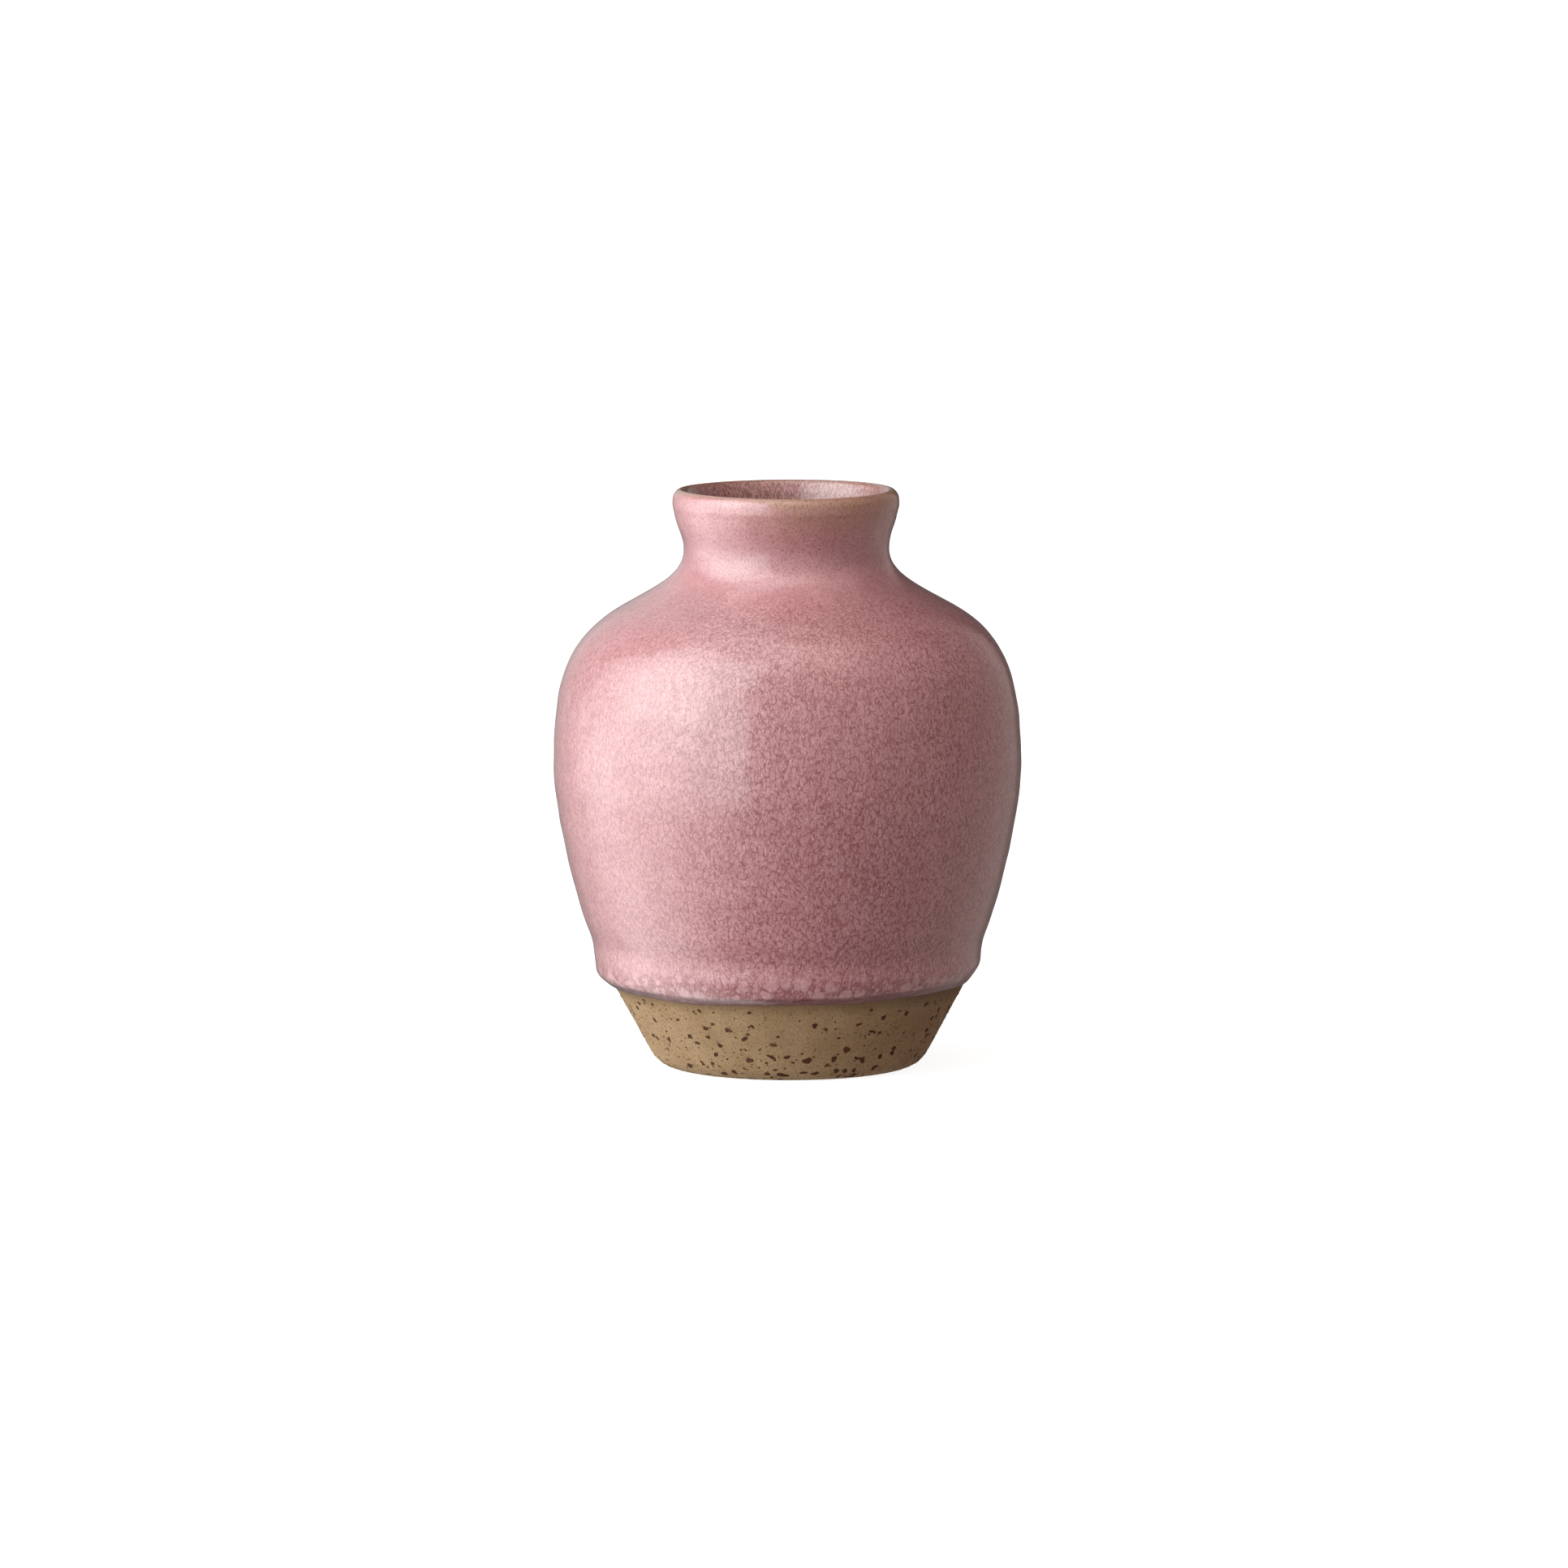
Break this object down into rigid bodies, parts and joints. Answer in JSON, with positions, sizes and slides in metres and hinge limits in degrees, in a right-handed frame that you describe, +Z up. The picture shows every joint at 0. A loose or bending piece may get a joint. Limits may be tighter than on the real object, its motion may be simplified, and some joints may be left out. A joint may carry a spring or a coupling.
{
  "type": "bud vase",
  "caption": "Round stoneware bud vase with a flared lip, narrow neck and full belly, glazed inside and out above a bare conical foot with a flat foot ring.",
  "frame": {"origin": "centre of the foot, on the surface that the vase stands on", "axes": "+Z up along the axis that the vase is turned about; the form is the same all round, and -Y is the side that the picture shows"},
  "size_m": [0.1, 0.1, 0.1236],
  "materials": {
    "stoneware": "bare fired clay, matt, with iron speckles",
    "outer_glaze": "mottled pink reactive glaze, satin gloss, breaking to tan at the lip",
    "inner_glaze": "the same glaze as a thinner lining, satin gloss",
    "iron_speckle": "dark iron grains in the bare clay, satin"
  },
  "bodies": {
    "root": {"stoneware_body": "stoneware", "outer_glaze": "outer_glaze", "inner_glaze": "inner_glaze"}
  },
  "joints": []
}
